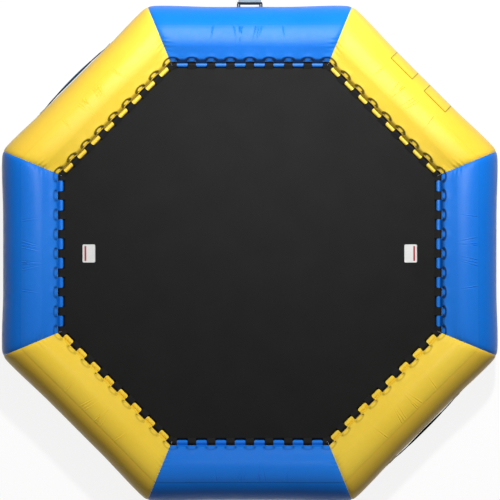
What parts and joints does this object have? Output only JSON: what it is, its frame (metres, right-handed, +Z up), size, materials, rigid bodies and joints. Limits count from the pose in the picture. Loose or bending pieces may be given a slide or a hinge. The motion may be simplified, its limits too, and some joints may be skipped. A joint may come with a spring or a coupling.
{
  "type": "water bouncer",
  "caption": "Octagonal inflatable ring with a flat bounce mat hinged to it by pipes in sleeves, a webbing ladder, carrying handles, anchor rings and a valve.",
  "frame": {"origin": "centre of the bounce mat's top face", "axes": "+Z up out of the mat; +Y towards the side that carries the ladder; +X towards the blue side on its right as seen from above"},
  "size_m": [4.572, 5.1852, 0.5351],
  "materials": {
    "blue_vinyl": "satin, reinforced vinyl sheet",
    "yellow_vinyl": "satin, reinforced vinyl sheet",
    "mat_fabric": "matt, close woven polymer mesh",
    "pipe_plastic": "satin",
    "webbing": "matt, woven",
    "patch_vinyl": "satin",
    "tag_vinyl": "satin, blank",
    "valve_plastic": "satin",
    "seal_rubber": "matt",
    "steel": "satin",
    "grip_foam": "matt, closed cell foam",
    "step_foam": "matt, ribbed cover"
  },
  "bodies": {
    "ring": {"tube_right": "blue_vinyl", "tube_upper_right": "yellow_vinyl", "tube_top": "blue_vinyl", "tube_upper_left": "yellow_vinyl", "tube_left": "blue_vinyl", "tube_lower_left": "yellow_vinyl", "tube_bottom": "blue_vinyl", "tube_lower_right": "yellow_vinyl", "hinge_strip_right": "blue_vinyl", "hinge_strip_upper_right": "yellow_vinyl", "hinge_strip_top": "blue_vinyl", "hinge_strip_upper_left": "yellow_vinyl", "hinge_strip_left": "blue_vinyl", "hinge_strip_lower_left": "yellow_vinyl", "hinge_strip_bottom": "blue_vinyl", "hinge_strip_lower_right": "yellow_vinyl", "hinge_pipe_right": "pipe_plastic", "hinge_pipe_upper_right": "pipe_plastic", "hinge_pipe_top": "pipe_plastic", "hinge_pipe_upper_left": "pipe_plastic", "hinge_pipe_left": "pipe_plastic", "hinge_pipe_lower_left": "pipe_plastic", "hinge_pipe_bottom": "pipe_plastic", "hinge_pipe_lower_right": "pipe_plastic", "mat_border": "mat_fabric", "tag_left": "tag_vinyl", "tag_right": "tag_vinyl", "valve_base": "valve_plastic", "valve_spring": "steel", "cap_leash": "seal_rubber", "handle_patch_upper_left_a": "patch_vinyl", "handle_patch_upper_left_b": "patch_vinyl", "handle_web_upper_left": "webbing", "handle_patch_lower_right_a": "patch_vinyl", "handle_patch_lower_right_b": "patch_vinyl", "handle_web_lower_right": "webbing", "handle_grip_upper_left": "grip_foam", "handle_grip_lower_right": "webbing", "anchor_patch_left": "patch_vinyl", "anchor_patch_right": "patch_vinyl", "anchor_patch_bottom": "patch_vinyl", "ladder_patch": "patch_vinyl"},
    "mat": {"bounce_mat": "mat_fabric"},
    "plunger": {"valve_plunger": "valve_plastic"},
    "cap_collar": {"leash_ring": "seal_rubber"},
    "cap": {"valve_cap": "valve_plastic", "cap_seal": "seal_rubber"},
    "ladder_upper": {"ladder_strap_upper_left": "webbing", "ladder_strap_upper_right": "webbing", "ladder_step_upper": "step_foam"},
    "ladder_middle": {"ladder_strap_middle_left": "webbing", "ladder_strap_middle_right": "webbing", "ladder_step_middle": "step_foam"},
    "ladder_lower": {"ladder_strap_lower_left": "webbing", "ladder_strap_lower_right": "webbing", "ladder_step_lower": "step_foam"},
    "anchor_ring_left": {"anchor_ring_left": "steel"},
    "anchor_ring_right": {"anchor_ring_right": "steel"},
    "anchor_ring_bottom": {"anchor_ring_bottom": "steel"}
  },
  "joints": [
    {"name": "mat_bounce", "type": "slide", "parent": "ring", "child": "mat", "axis": [0, 0, 1], "range_m": [-0.25, 0.05], "stiffness_N_per_m": 6000},
    {"name": "valve_press", "type": "slide", "parent": "ring", "child": "plunger", "axis": [-0.6533, -0.6533, 0.3827], "range_m": [0, 0.006], "stiffness_N_per_m": 300, "springref_m": -0.01, "deforming": ["valve_spring"]},
    {"name": "cap_lift", "type": "slide", "parent": "ring", "child": "cap_collar", "axis": [0.6533, 0.6533, -0.3827], "range_m": [0, 0.012]},
    {"name": "cap_turn", "type": "hinge", "parent": "cap_collar", "child": "cap", "pos_m": [1.6021, 1.6021, -0.21401], "axis": [0.6533, 0.6533, -0.3827], "range_deg": [0, 1080]},
    {"name": "ladder_fold_upper", "type": "hinge", "parent": "ring", "child": "ladder_upper", "pos_m": [0, 2.28392, -0.16462], "axis": [1, 0, 0], "range_deg": [-35, 75]},
    {"name": "ladder_fold_middle", "type": "hinge", "parent": "ladder_upper", "child": "ladder_middle", "pos_m": [0, 2.36955, -0.28692], "axis": [1, 0, 0], "range_deg": [-68, 22]},
    {"name": "ladder_fold_lower", "type": "hinge", "parent": "ladder_middle", "child": "ladder_lower", "pos_m": [0, 2.62922, -0.36552], "axis": [1, 0, 0], "range_deg": [-46, 68]},
    {"name": "anchor_swing_left", "type": "hinge", "parent": "ring", "child": "anchor_ring_left", "pos_m": [-2.24652, 0, -0.26371], "axis": [0, 1, 0], "range_deg": [-20, 120]},
    {"name": "anchor_swing_right", "type": "hinge", "parent": "ring", "child": "anchor_ring_right", "pos_m": [2.24652, 0, -0.26371], "axis": [0, -1, 0], "range_deg": [-20, 120]},
    {"name": "anchor_swing_bottom", "type": "hinge", "parent": "ring", "child": "anchor_ring_bottom", "pos_m": [0, -2.24652, -0.26371], "axis": [-1, 0, 0], "range_deg": [-20, 120]}
  ],
  "couplings": [
    {"joint": "cap_lift", "follows": "cap_turn", "m_per_rad": 0.00063662}
  ]
}
